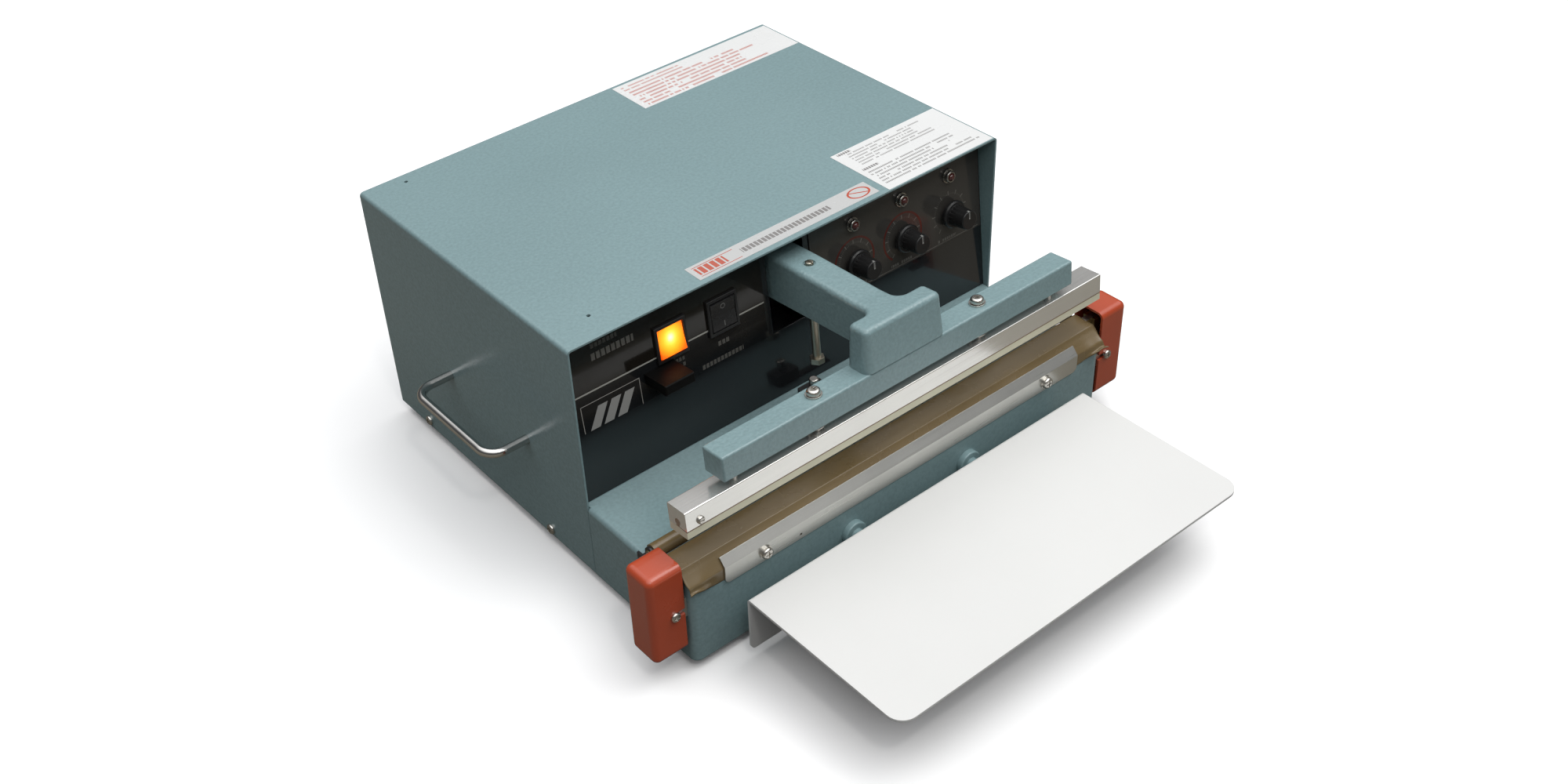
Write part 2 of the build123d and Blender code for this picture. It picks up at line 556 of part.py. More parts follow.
SIDE = OPEN * Pos(JAW_X, 0, 0)
beam = box(-BEAM_HW, BEAM_HW, BEAM_Y0, BEAM_Y1, BEAM_Z0, BEAM_Z1)
beam = fillet(beam.edges(), 1.6)
YM = (BEAM_Y0 + BEAM_Y1) / 2
for s in (-1, 1):
    beam -= cz(s * BOLT_X, YM, 100, 130, BOLT_R + FIT)
    beam -= cz(s * BOLT_X, YM, 100, BEAM_Z0 + 9, 7.6)
    beam -= cz(s * PIN_X, YM, 100, BEAM_Z0 + 15, BOLT_R + FIT)
nodes["pressure_beam"] = SIDE * beam
nodes["beam_washers"] = SIDE * group(
    *[cz(s * BOLT_X, YM, BEAM_Z1, BEAM_Z1 + 1.2, 5.7) - cz(s * BOLT_X, YM, 120, 130, BOLT_R + FIT) for s in (-1, 1)]
)

# floating jaw
jaw = box(-BAR_HW, BAR_HW, JAW_Y0, JAW_Y1, RUB_Z1, JAW_Z1)
jaw = fillet(pick(jaw, lambda e: abs(e.center().X) < 1 and abs(e.center().Z - JAW_Z1) < 0.01), 0.8)
for s in (-1, 1):
    jaw -= cz(s * BOLT_X, YM, 91.5, 100, BOLT_R + 0.02) + cz(s * PIN_X, YM, 91.5, 100, BOLT_R + 0.02)
jaw -= cy(-176.0, -104, -97, 87.6, 1.45)
jaw -= box(-190, 190, JAW_YM - 1.7, JAW_YM + 1.7, 83, 87.2) + cx(-190, 190, JAW_YM, 87.2, 2.6)
nodes["upper_jaw"] = SIDE * jaw
rubber = box(-BAR_HW, BAR_HW, JAW_Y0 + 0.2, JAW_Y1 - 0.2, RUB_Z0, RUB_Z1)
rubber += box(-BAR_HW, BAR_HW, JAW_YM - 1.65, JAW_YM + 1.65, RUB_Z1 - 0.5, 87.2)
rubber += cx(-BAR_HW, BAR_HW, JAW_YM, 87.2, 2.55)
nodes["silicone_strip"] = SIDE * rubber

sb, gp, st = [], [], []
HZ = BEAM_Z1 + 1.2 + 0.4
for s in (-1, 1):
    b = cz(s * BOLT_X, YM, 91.6, HZ + 1, BOLT_R)
    hd = cz(s * BOLT_X, YM, HZ, HZ + 3.4, 4.7)
    hd = fillet(hd.edges().filter_by(lambda e: abs(e.center().Z - HZ - 3.4) < 0.01), 2.0)
    hd -= box(s * BOLT_X - 0.5, s * BOLT_X + 0.5, YM - 2.6, YM + 2.6, HZ + 1.8, HZ + 4)
    hd -= box(s * BOLT_X - 2.6, s * BOLT_X + 2.6, YM - 0.5, YM + 0.5, HZ + 1.8, HZ + 4)
    sb.append(b + hd)
    gp.append(cz(s * PIN_X, YM, 91.6, BEAM_Z0 + 9.5, BOLT_R))
h = cy(-176.0, JAW_Y0 - 1.8, JAW_Y0, 87.6, 2.8)
h = fillet(h.edges().filter_by(lambda e: abs(e.center().Y - JAW_Y0 + 1.8) < 0.01), 1.2)
h -= box(-177.7, -174.3, JAW_Y0 - 2, JAW_Y0 - 0.9, 87.2, 88.0)
st.append(h + cy(-176.0, JAW_Y0 - 0.5, JAW_Y0 + 4.5, 87.6, 1.4))
nodes["spring_bolts"] = SIDE * group(*sb)
nodes["guide_pins"] = SIDE * group(*gp)
nodes["strip_screws"] = SIDE * group(*st)


def coil(x, y, z0, z1, r, wire, turns):
    h = z1 - z0 - wire
    path = Pos(0, 0, 0) * Helix(pitch=h / turns, height=h, radius=r)
    prof = Plane(origin=path @ 0, z_dir=path % 0) * Circle(wire / 2)
    return Pos(x, y, z0 + wire / 2) * sweep(prof, path=path)


nodes["jaw_springs"] = SIDE * group(
    *[coil(s * BOLT_X, YM, JAW_Z1 + 0.1, BEAM_Z0 + 8.9, 5.4, 1.1, 5) for s in (-1, 1)]
)

# ------------------------------------------------- pivot frame and drive
frame = None
for s in (-1, 1):
    p = yz_prism(
        [(104, 1.5), (238, 1.5), (238, 24), (228, 116), (228, 121), (214, 121), (206, 152), (196, 158), (184, 158),
         (174, 152), (164, 72), (104, 72)],
        s * 22.0, s * 25.0,
    )
    frame = p if frame is None else frame + p
frame += box(-25, 25, 104, 238, 1.5, 4.5)
frame += box(-25, 25, 104, 146, 69, 72)
frame += box(-25, 25, 216, 227, 112.0, 119.6)
frame += cz(0, 125, 72, 77, 4.6)
for x in (-36, 36):
    frame += box(min(x - 11, x + 11), max(x - 11, x + 11), 104, 238, 1.5, 4.5)
frame -= cx(-30, 30, PIVOT_Y, PIVOT_Z, SHAFT_R + 0.02)
nodes["pivot_frame"] = frame
shaft = cx(-28.0, 28.0, PIVOT_Y, PIVOT_Z, SHAFT_R)
shaft += cx(25.1, 26.8, PIVOT_Y, PIVOT_Z, 7.5) + cx(-26.8, -25.1, PIVOT_Y, PIVOT_Z, 7.5)
nodes["pivot_shaft"] = shaft


def open_point(y, z):
    a = radians(-OPEN_DEG)
    return (
        PIVOT_Y + (y - PIVOT_Y) * cos(a) - (z - PIVOT_Z) * sin(a),
        PIVOT_Z + (y - PIVOT_Y) * sin(a) + (z - PIVOT_Z) * cos(a),
    )


LOY, LOZ = open_point(LINK_Y, LINK_Z)
sp_top = open_point(125, ARM_BOT)[1]
nodes["return_spring"] = coil(0, 125, 72.1, sp_top - 0.9, 6.8, 1.8, 7)

SOL_Y = (LOY + LINK_Y) / 2
sol = box(-32, 32, SOL_Y - 20, SOL_Y + 20, 1.5, 84)
sol -= box(-24, 24, SOL_Y - 22, SOL_Y + 22, 10, 76)
sol -= cz(0, SOL_Y, 70, 90, 8.0 + FIT)
nodes["solenoid_frame"] = sol
coilb = box(-23.8, 23.8, SOL_Y - 24, SOL_Y + 24, 10, 76)
coilb = fillet(coilb.edges().filter_by(Axis.Z), 6.0)
coilb -= cz(0, SOL_Y, 9, 80, 8.0 + FIT)
nodes["solenoid_coil"] = coilb
pl = cz(0, SOL_Y, 28, 96, 8.0)
pl += box(-18.0, 18.0, SOL_Y - 9, SOL_Y + 9, 96, 102)
for s in (-1, 1):
    c = box(s * 14.3, s * 18.0, SOL_Y - 9, SOL_Y + 9, 96, LOZ + 8)
    pl += c
hole = cx(-22, 22, SOL_Y - 0.4, LOZ, LINK_R + 0.4) + cx(-22, 22, SOL_Y + 0.4, LOZ, LINK_R + 0.4)
hole += box(-22, 22, SOL_Y - 0.4, SOL_Y + 0.4, LOZ - LINK_R - 0.4, LOZ + LINK_R + 0.4)
pl -= hole
nodes["solenoid_plunger"] = pl

# transformer, timer board
core = box(-150, -78, 130, 192, 1.5, 62) - box(-138, -90, 128, 194, 14, 50)
wind = box(-137.8, -90.2, 122, 200, 14.2, 49.8)
wind = fillet(wind.edges().filter_by(Axis.Z), 5.0)
nodes["transformer"] = group(core, wind)
brd = box(62, 168, 70, 205, 21.5, 23.1)
parts_ = [brd]
for x, y, w, d, h in ((80, 90, 20, 15, 18), (80, 115, 20, 15, 18), (112, 100, 26, 30, 14), (145, 95, 12, 12, 20),
                      (90, 165, 30, 20, 12), (135, 160, 18, 34, 9)):
    parts_.append(box(x - w / 2, x + w / 2, y - d / 2, y + d / 2, 23.1, 23.1 + h))
for x in (66, 164):
    for y in (74, 201):
        parts_.append(cz(x, y, 1.5, 21.5, 3.0))
nodes["timer_board"] = group(*parts_)

# closing stop switch on the deck under the stop bolt
csw = box(-10, 10, STOP_Y - 7, STOP_Y + 7, DECK_Z, DECK_Z + 8.5)
csw = fillet(csw.edges().filter_by(Axis.Z), 1.5)
csw += box(10, 38.5, STOP_Y + 0.5, STOP_Y + 7, DECK_Z, DECK_Z + 1.2)
csw += cz(35, STOP_Y + 3.7, DECK_Z + 1.2, DECK_Z + 3.4, 2.6)
csw -= cz(0, STOP_Y, DECK_Z + 1, DECK_Z + 10, 3.5 + FIT)
nodes["closing_switch"] = csw
btn = cz(0, STOP_Y, DECK_Z + 4.6, STOP_HEAD_Z - 0.45, 3.5)
btn = fillet(btn.edges().filter_by(lambda e: e.center().Z > DECK_Z + 12), 1.0)
nodes["switch_button"] = btn

# rear connections
X, Z = INLET
inl = box(X - 15.5, X + 15.5, 257.7, 260.6, Z - 12, Z + 12)
inl = fillet(inl.edges().filter_by(Axis.Y), 3.0)
inl += box(X - 14, X + 14, 236, 258, Z - 10, Z + 10)
inl -= box(X - 11.8, X + 11.8, 243, 262, Z - 7.8, Z + 7.8)
for dx, dz in ((-7, -2), (7, -2), (0, 2)):  # contact blades
    inl += box(X + dx - 1, X + dx + 1, 242, 254, Z + dz - 2, Z + dz + 2)
nodes["power_inlet"] = inl
fu = cy(FUSE[0], 236, 257.7, FUSE[1], 6.2) + cy(FUSE[0], 257.7, 260.0, FUSE[1], 8.5)
fu += cy(FUSE[0], 260.0, REAR_END, FUSE[1], 6.6)
fu -= box(FUSE[0] - 4, FUSE[0] + 4, REAR_END - 1.5, REAR_END + 1, FUSE[1] - 0.8, FUSE[1] + 0.8)
nodes["fuse_holder"] = fu
jk = cy(JACK[0], 240, 264, JACK[1], 4.9) + hexy(JACK[0], 257.7, 260.5, JACK[1], 13.0)
jk -= cy(JACK[0], 244, 266, JACK[1], 3.2)
nodes["foot_switch_jack"] = jk

# ---------------------------------------------------------------- export
os.makedirs("parts", exist_ok=True)
for name, shape in nodes.items():
    export_step(SHIFT * shape, f"parts/{name}.step")
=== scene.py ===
import math
import random

import bpy
from mathutils import Matrix, Vector
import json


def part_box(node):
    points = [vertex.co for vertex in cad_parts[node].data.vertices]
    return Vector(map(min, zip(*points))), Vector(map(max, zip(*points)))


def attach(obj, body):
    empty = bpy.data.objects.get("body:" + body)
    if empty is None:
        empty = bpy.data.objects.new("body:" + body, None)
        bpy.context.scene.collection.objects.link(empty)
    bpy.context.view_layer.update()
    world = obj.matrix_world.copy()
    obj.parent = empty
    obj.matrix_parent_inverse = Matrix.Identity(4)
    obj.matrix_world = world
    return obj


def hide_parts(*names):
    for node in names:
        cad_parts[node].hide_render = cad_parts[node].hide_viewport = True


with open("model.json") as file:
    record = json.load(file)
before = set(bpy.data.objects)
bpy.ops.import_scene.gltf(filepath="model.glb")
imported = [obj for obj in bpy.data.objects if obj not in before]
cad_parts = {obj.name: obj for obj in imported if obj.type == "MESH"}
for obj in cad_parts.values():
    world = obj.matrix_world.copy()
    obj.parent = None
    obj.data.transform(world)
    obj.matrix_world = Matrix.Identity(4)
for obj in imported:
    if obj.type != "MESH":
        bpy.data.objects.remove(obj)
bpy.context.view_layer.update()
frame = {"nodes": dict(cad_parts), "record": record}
scene = bpy.context.scene
NODES = frame["nodes"]
RECORD = frame["record"]

# ------------------------------------------------------------------ camera
cam_data = bpy.data.cameras.new("camera")
cam = bpy.data.objects.new("camera", cam_data)
scene.collection.objects.link(cam)
AZ, EL, ROLL = math.radians(-35.76), math.radians(37.84), math.radians(-4.32)
fwd = Vector((-math.sin(AZ) * math.cos(EL), math.cos(AZ) * math.cos(EL), -math.sin(EL)))
right0 = Vector((math.cos(AZ), math.sin(AZ), 0))
up0 = right0.cross(fwd)
right = right0 * math.cos(ROLL) + up0 * math.sin(ROLL)
up = -right0 * math.sin(ROLL) + up0 * math.cos(ROLL)
cam.matrix_world = Matrix(
    (
        (right.x, up.x, -fwd.x, -0.62153),
        (right.y, up.y, -fwd.y, -0.73627),
        (right.z, up.z, -fwd.z, 0.82065),
        (0, 0, 0, 1),
    )
)
cam_data.sensor_width = 36.0
cam_data.lens = 2167.47 * 36.0 / 2000.0
cam_data.shift_x = (1000.0 - 886.95) / 2000.0
cam_data.shift_y = -(500.0 - 493.46) / 2000.0
cam_data.clip_start, cam_data.clip_end = 0.05, 60.0
cam_data.dof.use_dof = False
scene.camera = cam

# ------------------------------------------------------------ floor, light
floor_mesh = bpy.data.meshes.new("floor")
F = 14.0
floor_mesh.from_pydata(
    [(-F, -F, -0.0003), (F, -F, -0.0003), (F, F, -0.0003), (-F, F, -0.0003)], [], [(0, 1, 2, 3)]
)
floor = bpy.data.objects.new("floor", floor_mesh)
scene.collection.objects.link(floor)

world = bpy.data.worlds.new("studio")
scene.world = world
world.use_nodes = True
wn = world.node_tree
wn.nodes.clear()
w_out = wn.nodes.new("ShaderNodeOutputWorld")
w_mix = wn.nodes.new("ShaderNodeMixShader")
w_light = wn.nodes.new("ShaderNodeBackground")
w_seen = wn.nodes.new("ShaderNodeBackground")
w_path = wn.nodes.new("ShaderNodeLightPath")
w_light.inputs["Color"].default_value = (0.985, 0.99, 1.0, 1)
# a wide softbox overhead, a little stronger to the right and the front, over a dim room
w_tc = wn.nodes.new("ShaderNodeTexCoord")
w_sep = wn.nodes.new("ShaderNodeSeparateXYZ")
w_ramp = wn.nodes.new("ShaderNodeMapRange")
w_ramp.interpolation_type = "SMOOTHSTEP"
for i, val in ((1, 0.44), (2, 0.95), (3, 0.0), (4, 2.1)):
    w_ramp.inputs[i].default_value = val
w_side = wn.nodes.new("ShaderNodeMath")
w_side.operation = "MULTIPLY_ADD"
w_side.inputs[1].default_value, w_side.inputs[2].default_value = 0.35, 1.0
w_front = wn.nodes.new("ShaderNodeMath")
w_front.operation = "MULTIPLY_ADD"
w_front.inputs[1].default_value = -0.32
w_prod = wn.nodes.new("ShaderNodeMath")
w_prod.operation = "MULTIPLY_ADD"
w_prod.inputs[2].default_value = 0.10
wn.links.new(w_tc.outputs["Generated"], w_sep.inputs[0])
wn.links.new(w_sep.outputs[2], w_ramp.inputs[0])
wn.links.new(w_sep.outputs[0], w_side.inputs[0])
wn.links.new(w_sep.outputs[1], w_front.inputs[0])
wn.links.new(w_side.outputs[0], w_front.inputs[2])
wn.links.new(w_ramp.outputs[0], w_prod.inputs[0])
wn.links.new(w_front.outputs[0], w_prod.inputs[1])
wn.links.new(w_prod.outputs[0], w_light.inputs["Strength"])
w_seen.inputs["Color"].default_value = (1, 1, 1, 1)
w_seen.inputs["Strength"].default_value = 1.0
wn.links.new(w_path.outputs["Is Camera Ray"], w_mix.inputs["Fac"])
wn.links.new(w_light.outputs[0], w_mix.inputs[1])
wn.links.new(w_seen.outputs[0], w_mix.inputs[2])
wn.links.new(w_mix.outputs[0], w_out.inputs["Surface"])


def area(name, at, target, size, power, color=(1, 1, 1)):
    data = bpy.data.lights.new(name, "AREA")
    data.shape = "RECTANGLE"
    data.size, data.size_y = size
    data.energy = power
    data.color = color
    o = bpy.data.objects.new(name, data)
    scene.collection.objects.link(o)
    o.location = at
    o.rotation_mode = "QUATERNION"
    o.rotation_quaternion = (Vector(target) - Vector(at)).to_track_quat("-Z", "Y")
    return o


area("key_softbox", (0.75, -0.55, 1.95), (0.0, -0.02, 0.1), (1.2, 1.0), 8.0, (1.0, 0.99, 0.965))
area("front_fill", (0.6, -1.9, 0.75), (0.05, -0.1, 0.1), (0.9, 0.7), 1.0, (1.0, 0.98, 0.95))
area("small_lamp", (-0.45, -0.95, 1.55), (0.0, -0.05, 0.12), (0.10, 0.10), 2.2, (1.0, 0.98, 0.94))

scene.view_settings.view_transform = "Standard"
scene.view_settings.look = "None"
scene.view_settings.exposure = 0.0
scene.view_settings.gamma = 1.0


# ------------------------------------------------- shader arithmetic helper
class V:
    """One number of a node tree. Arithmetic on it lays down Math nodes."""

    def __init__(self, nt, s):
        self.nt, self.s = nt, s

    def m(self, op, b=None, c=None, clamp=False, flip=False):
        n = self.nt.nodes.new("ShaderNodeMath")
        n.operation = op
        n.use_clamp = clamp
        args = [self, b, c]
        if flip:
            args = [b, self, c]
        for i, v in enumerate(args):
            if v is None:
                continue
            if isinstance(v, V):
                self.nt.links.new(v.s, n.inputs[i])
            else:
                n.inputs[i].default_value = float(v)
        return V(self.nt, n.outputs[0])

    def __add__(self, o):
        return self.m("ADD", o)

    __radd__ = __add__

    def __sub__(self, o):
        return self.m("SUBTRACT", o)

    def __rsub__(self, o):
        return self.m("SUBTRACT", o, flip=True)

    def __mul__(self, o):
        return self.m("MULTIPLY", o)

    __rmul__ = __mul__

    def __truediv__(self, o):
        return self.m("DIVIDE", o)

    def __gt__(self, o):
        return self.m("GREATER_THAN", o)

    def __lt__(self, o):
        return self.m("LESS_THAN", o)

    def clamp(self):
        return self.m("ADD", 0.0, clamp=True)

    def floor(self):
        return self.m("FLOOR")

    def fract(self):
        return self.m("FRACT")

    def abs(self):
        return self.m("ABSOLUTE")

    def sqrt(self):
        return self.m("SQRT")

    def max(self, o):
        return self.m("MAXIMUM", o)

    def min(self, o):
        return self.m("MINIMUM", o)

    def pow(self, o):
        return self.m("POWER", o)


def atan2(a, b):
    return a.m("ARCTAN2", b)


def within(v, lo, hi):
    """1 where v is between lo and hi."""
    return (v > lo) * (v < hi)


def step(v, lo, hi):
    """0 below lo, 1 above hi, straight between."""
    return ((v - lo) / (hi - lo)).clamp()


class Mat:
    """A Principled material with procedural inputs in the part frame, in metres."""

    def __init__(self, name, color, rough, metallic=0.0, coat=0.0, coat_rough=0.08, spec=0.5, sheen=0.0):
        self.mat = bpy.data.materials.new(name)
        self.mat.use_nodes = True
        self.nt = self.mat.node_tree
        self.nt.nodes.clear()
        self.out = self.nt.nodes.new("ShaderNodeOutputMaterial")
        self.b = self.nt.nodes.new("ShaderNodeBsdfPrincipled")
        self.nt.links.new(self.b.outputs[0], self.out.inputs["Surface"])
        self.b.inputs["Base Color"].default_value = (*color, 1)
        self.b.inputs["Roughness"].default_value = rough
        self.b.inputs["Metallic"].default_value = metallic
        self.b.inputs["Coat Weight"].default_value = coat
        self.b.inputs["Coat Roughness"].default_value = coat_rough
        self.b.inputs["Specular IOR Level"].default_value = spec
        self.b.inputs["Sheen Weight"].default_value = sheen
        self.color, self.rough = color, rough
        tc = self.nt.nodes.new("ShaderNodeTexCoord")
        self.p = tc.outputs["Object"]
        sep = self.nt.nodes.new("ShaderNodeSeparateXYZ")
        self.nt.links.new(self.p, sep.inputs[0])
        self.x, self.y, self.z = (V(self.nt, sep.outputs[i]) for i in range(3))
        self.h = None
        self.base = None

    def noise(self, scale, detail=2.0, rough=0.5, stretch=(1, 1, 1), lo=0.0, hi=1.0, dist=0.0):
        n = self.nt.nodes.new("ShaderNodeTexNoise")
        n.inputs["Scale"].default_value = scale
        n.inputs["Detail"].default_value = detail
        n.inputs["Roughness"].default_value = rough
        n.inputs["Distortion"].default_value = dist
        if stretch != (1, 1, 1):
            mp = self.nt.nodes.new("ShaderNodeMapping")
            mp.inputs["Scale"].default_value = stretch
            self.nt.links.new(self.p, mp.inputs[0])
            self.nt.links.new(mp.outputs[0], n.inputs["Vector"])
        else:
            self.nt.links.new(self.p, n.inputs["Vector"])
        v = V(self.nt, n.outputs["Fac"])
        return step(v, lo, hi) if (lo, hi) != (0.0, 1.0) else v

    def voronoi(self, scale, feature="F1"):
        n = self.nt.nodes.new("ShaderNodeTexVoronoi")
        n.feature = feature
        n.inputs["Scale"].default_value = scale
        self.nt.links.new(self.p, n.inputs["Vector"])
        return V(self.nt, n.outputs["Distance"])

    def white(self, a, b):
        """A random number from two numbers."""
        n = self.nt.nodes.new("ShaderNodeTexWhiteNoise")
        n.noise_dimensions = "2D"
        c = self.nt.nodes.new("ShaderNodeCombineXYZ")
        for i, v in enumerate((a, b)):
            if isinstance(v, V):
                self.nt.links.new(v.s, c.inputs[i])
            else:
                c.inputs[i].default_value = v
        self.nt.links.new(c.outputs[0], n.inputs["Vector"])
        return V(self.nt, n.outputs["Value"])

    def mix(self, fac, a, b):
        n = self.nt.nodes.new("ShaderNodeMix")
        n.data_type = "RGBA"
        n.clamp_factor = True
        if isinstance(fac, V):
            self.nt.links.new(fac.s, n.inputs[0])
        else:
            n.inputs[0].default_value = fac
        for i, v in ((6, a), (7, b)):
            if isinstance(v, tuple):
                n.inputs[i].default_value = (*v[:3], 1)
            else:
                self.nt.links.new(v, n.inputs[i])
        return n.outputs[2]

    def set_color(self, sock):
        self.base = sock
        self.nt.links.new(sock, self.b.inputs["Base Color"])

    def paint(self, fac, color):
        """Lays another colour over the base where fac is 1."""
        self.set_color(self.mix(fac, self.base if self.base is not None else self.color, color))

    def vary(self, amount=0.06, scale=9.0, detail=3.0):
        a = tuple(c * (1 - amount) for c in self.color)
        b = tuple(min(1.0, c * (1 + amount)) for c in self.color)
        self.set_color(self.mix(self.noise(scale, detail, lo=0.32, hi=0.68), a, b))

    def set_rough(self, v):
        self.nt.links.new(v.s, self.b.inputs["Roughness"])

    def vary_rough(self, amount=0.06, scale=14.0, detail=4.0, stretch=(1, 1, 1)):
        n = self.noise(scale, detail, stretch=stretch, lo=0.3, hi=0.7)
        self.set_rough((n - 0.5) * (2 * amount) + self.rough)

    def edge(self, radius=0.0006):
        """Edge mask: 1 on edges, from the difference of the bevelled and the true normal; it marks worn edges and also
        edges painted as highlights.
        """
        bev = self.nt.nodes.new("ShaderNodeBevel")
        bev.samples = 4
        bev.inputs["Radius"].default_value = radius
        geo = self.nt.nodes.new("ShaderNodeNewGeometry")
        dot = self.nt.nodes.new("ShaderNodeVectorMath")
        dot.operation = "DOT_PRODUCT"
        self.nt.links.new(bev.outputs[0], dot.inputs[0])
        self.nt.links.new(geo.outputs["Normal"], dot.inputs[1])
        self.bev = bev
        return step(V(self.nt, dot.outputs["Value"]), 0.995, 0.86)

    def bump(self, height, distance, round_edges=0.0):
        """Adds a relief of height times distance, in metres."""
        if self.h is None:
            self.bmp = self.nt.nodes.new("ShaderNodeBump")
            self.bmp.inputs["Distance"].default_value = 1.0
            self.bmp.inputs["Strength"].default_value = 1.0
            self.nt.links.new(self.bmp.outputs[0], self.b.inputs["Normal"])
            if round_edges:
                bev = self.nt.nodes.new("ShaderNodeBevel")
                bev.samples = 4
                bev.inputs["Radius"].default_value = round_edges
                self.nt.links.new(bev.outputs[0], self.bmp.inputs["Normal"])
        self.h = height * distance if self.h is None else self.h + height * distance
        self.nt.links.new(self.h.s, self.bmp.inputs["Height"])

    def on(self, *names):
        for n in names:
            o = NODES[n] if isinstance(n, str) else n
            o.data.materials.clear()
            o.data.materials.append(self.mat)
        return self


K = math.atan(0.11)


def panel_v(m, z0=0.068):
    """Distance up the slanted panel, in metres."""
    return (m.z - z0) * math.cos(K) + (m.y - 0.0) * math.sin(K)


# --------------------------------------------------------------- materials
BLUE = (0.195, 0.287, 0.300)


def blue_paint(name, grain, rough, depth, edge_wear_and_sheen=0.15):
    m = Mat(name, BLUE, rough, spec=0.5)
    m.vary(0.035, 5.0, 2.0)
    pit = m.noise(grain, 1.0, 0.5)
    m.paint(step(pit, 0.50, 0.70) * 0.20, tuple(c * 1.30 for c in BLUE))
    m.paint(step(pit, 0.48, 0.30) * 0.22, tuple(c * 0.72 for c in BLUE))
    dust = m.noise(210.0, 3.0, 0.65, lo=0.62, hi=0.80)
    m.paint(dust * 0.12, (0.34, 0.40, 0.40))
    scratch = m.noise(1.0, 3.0, 0.5, stretch=(18.0, 420.0, 420.0), lo=0.70, hi=0.78)
    m.paint(scratch * 0.12, (0.36, 0.43, 0.43))
    # edges painted a lighter blue: partly worn paint, partly a painted highlight along the rounded edges
    m.paint(m.edge(0.0004) * m.noise(70.0, 4.0, lo=0.42, hi=0.78) * edge_wear_and_sheen, (0.34, 0.42, 0.42))
    m.vary_rough(0.04, 9.0, 3.0)
    m.bump(pit, depth, 0.0006)
    return m


sheet_paint = blue_paint("blue_orange_peel_enamel", 430.0, 0.22, 0.00012)
sheet_paint.on("case_cover", "front_housing", "base_plate", "rear_panel", "shelf_spacers")
cast_paint = blue_paint("blue_enamel_on_casting", 420.0, 0.24, 0.00030, 0.25)
cast_paint.on("press_arm", "pressure_beam")

m = Mat("black_gloss_enamel", (0.012, 0.013, 0.0145), 0.13, spec=0.5, coat=0.5, coat_rough=0.05)
m.vary(0.15, 14.0)
m.paint(m.noise(20.0, 6.0, 0.7, lo=0.55, hi=0.85) * 0.10, (0.06, 0.065, 0.065))
m.set_rough(m.noise(26.0, 5.0, 0.7, lo=0.4, hi=0.75) * 0.10 + 0.11)
m.bump(m.noise(18.0, 2.0), 0.00030, 0.0005)
m.on("front_panel")

# milled aluminium of the jaw and the bar
m = Mat("satin_milled_aluminium", (0.84, 0.83, 0.80), 0.20, metallic=0.80, spec=0.5)
m.vary(0.03, 16.0)
brush = m.noise(1.0, 3.0, 0.55, stretch=(10.0, 700.0, 700.0))
m.paint(step(brush, 0.45, 0.8) * 0.16, (0.62, 0.61, 0.58))
m.paint(m.noise(48.0, 6.0, 0.72, lo=0.58, hi=0.82) * 0.22, (0.50, 0.49, 0.45))
# edges painted brighter: a painted highlight along the milled edges
m.paint(m.edge(0.0004) * 0.25, (0.92, 0.92, 0.90))
m.set_rough((brush - 0.5) * 0.14 + 0.20)
m.bump(brush, 0.000012, 0.0004)
m.on("upper_jaw", "lower_bar")

m = Mat("matt_bent_aluminium", (0.60, 0.60, 0.57), 0.33, metallic=0.9)
m.vary(0.05, 30.0)
brush = m.noise(1.0, 3.0, 0.6, stretch=(9.0, 620.0, 620.0))
m.paint(step(brush, 0.5, 0.85) * 0.2, (0.46, 0.46, 0.44))
m.paint(m.noise(60.0, 5.0, 0.7, lo=0.58, hi=0.8) * 0.28, (0.40, 0.39, 0.36))
# edges painted brighter: a painted highlight along the bent edges
m.paint(m.edge(0.0003) * 0.3, (0.86, 0.86, 0.84))
m.set_rough((brush - 0.5) * 0.16 + 0.30)
m.bump(brush, 0.000018, 0.0003)
m.on("cloth_clamp")

m = Mat("cream_silicone_rubber", (0.60, 0.58, 0.435), 0.55, spec=0.4, sheen=0.15)
m.vary(0.05, 40.0)
m.paint(m.noise(22.0, 5.0, 0.7, lo=0.55, hi=0.8) * 0.25, (0.42, 0.36, 0.22))
key_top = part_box("silicone_strip")[1][2]
# the upper part of the strip, up inside the jaw's slot, is painted dark brown: painted shade in the slot
m.paint((m.z > key_top - 0.0062) * 0.9, (0.19, 0.115, 0.06))
m.vary_rough(0.1, 60.0)
m.bump(m.noise(900.0, 2.0), 0.00004)
m.on("silicone_strip")

m = Mat("red_gloss_moulding", (0.42, 0.063, 0.024), 0.22, spec=0.4, coat=0.42, coat_rough=0.04)
m.vary(0.06, 20.0)
m.paint(m.noise(46.0, 5.0, 0.7, lo=0.60, hi=0.85) * 0.25, (0.58, 0.17, 0.10))
# edges painted a lighter red: partly wear, partly a painted highlight on the rounded edges
m.paint(m.edge(0.0005) * m.noise(90.0, 3.0, lo=0.4, hi=0.7) * 0.25, (0.60, 0.20, 0.12))
m.vary_rough(0.07, 40.0)
m.bump(m.noise(700.0, 2.0), 0.00005, 0.0008)
m.bump(m.noise(35.0, 1.0), 0.0001)
m.on("left_end_cap", "right_end_cap")

m = Mat("white_powder_coat", (0.64, 0.64, 0.628), 0.42, spec=0.4)
m.vary(0.02, 6.0)
m.paint(m.edge(0.0004) * m.noise(110.0, 4.0, lo=0.45, hi=0.75) * 0.5, (0.46, 0.45, 0.42))
m.paint(m.noise(12.0, 6.0, 0.7, lo=0.58, hi=0.9) * 0.12, (0.54, 0.53, 0.50))
scuff = m.noise(1.0, 3.0, 0.5, stretch=(30.0, 900.0, 30.0), lo=0.66, hi=0.78)
m.paint(scuff * 0.08, (0.5, 0.5, 0.48))
m.vary_rough(0.06, 20.0)
m.bump(m.noise(700.0, 2.0), 0.00006, 0.0006)
m.on("work_shelf")


